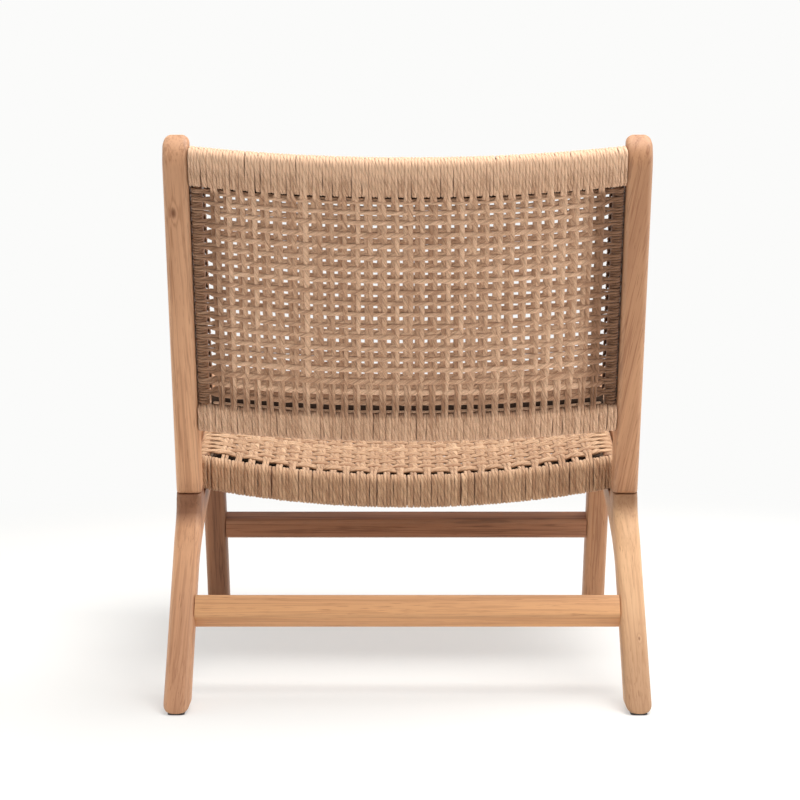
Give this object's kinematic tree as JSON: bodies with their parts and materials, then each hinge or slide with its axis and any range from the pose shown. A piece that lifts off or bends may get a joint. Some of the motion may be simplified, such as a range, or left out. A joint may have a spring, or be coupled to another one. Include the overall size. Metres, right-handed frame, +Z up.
{
  "type": "lounge chair",
  "caption": "Low armless lounge chair with a raked hardwood frame and bowed seat and back panels wrapped and woven in twisted cord.",
  "frame": {"origin": "middle of the footprint, on the floor under the four glides", "axes": "+Z up, the sitter faces -Y, +X to the sitter's left"},
  "size_m": [0.65, 0.724, 0.7692],
  "materials": {
    "teak": "oiled",
    "panel_wood": "sanded",
    "cord": "matte",
    "glide": "matte",
    "nail": "brushed",
    "dowel": "sanded"
  },
  "bodies": {
    "root": {"left_back_post": "teak", "right_back_post": "teak", "left_seat_side_rail": "teak", "right_seat_side_rail": "teak", "left_rear_leg": "teak", "right_rear_leg": "teak", "left_front_leg": "teak", "right_front_leg": "teak", "rear_stretcher": "teak", "front_stretcher": "teak", "back_top_rail": "panel_wood", "back_bottom_rail": "panel_wood", "left_back_slat": "panel_wood", "right_back_slat": "panel_wood", "seat_front_rail": "panel_wood", "seat_rear_rail": "panel_wood", "left_seat_slat": "panel_wood", "right_seat_slat": "panel_wood", "back_top_wrap": "cord", "back_bottom_wrap": "cord", "left_back_wrap": "cord", "right_back_wrap": "cord", "seat_front_wrap": "cord", "seat_rear_wrap": "cord", "left_seat_wrap": "cord", "right_seat_wrap": "cord", "back_weave": "cord", "seat_weave": "cord", "left_rear_glide": "glide", "right_rear_glide": "glide", "left_front_glide": "glide", "right_front_glide": "glide", "glide_nails": "nail", "knee_dowels": "dowel", "side_rail_dowels": "dowel", "leg_head_dowels": "dowel", "stretcher_dowels": "dowel", "back_panel_dowels": "dowel", "seat_panel_dowels": "dowel", "slat_dowels": "dowel"}
  },
  "joints": []
}
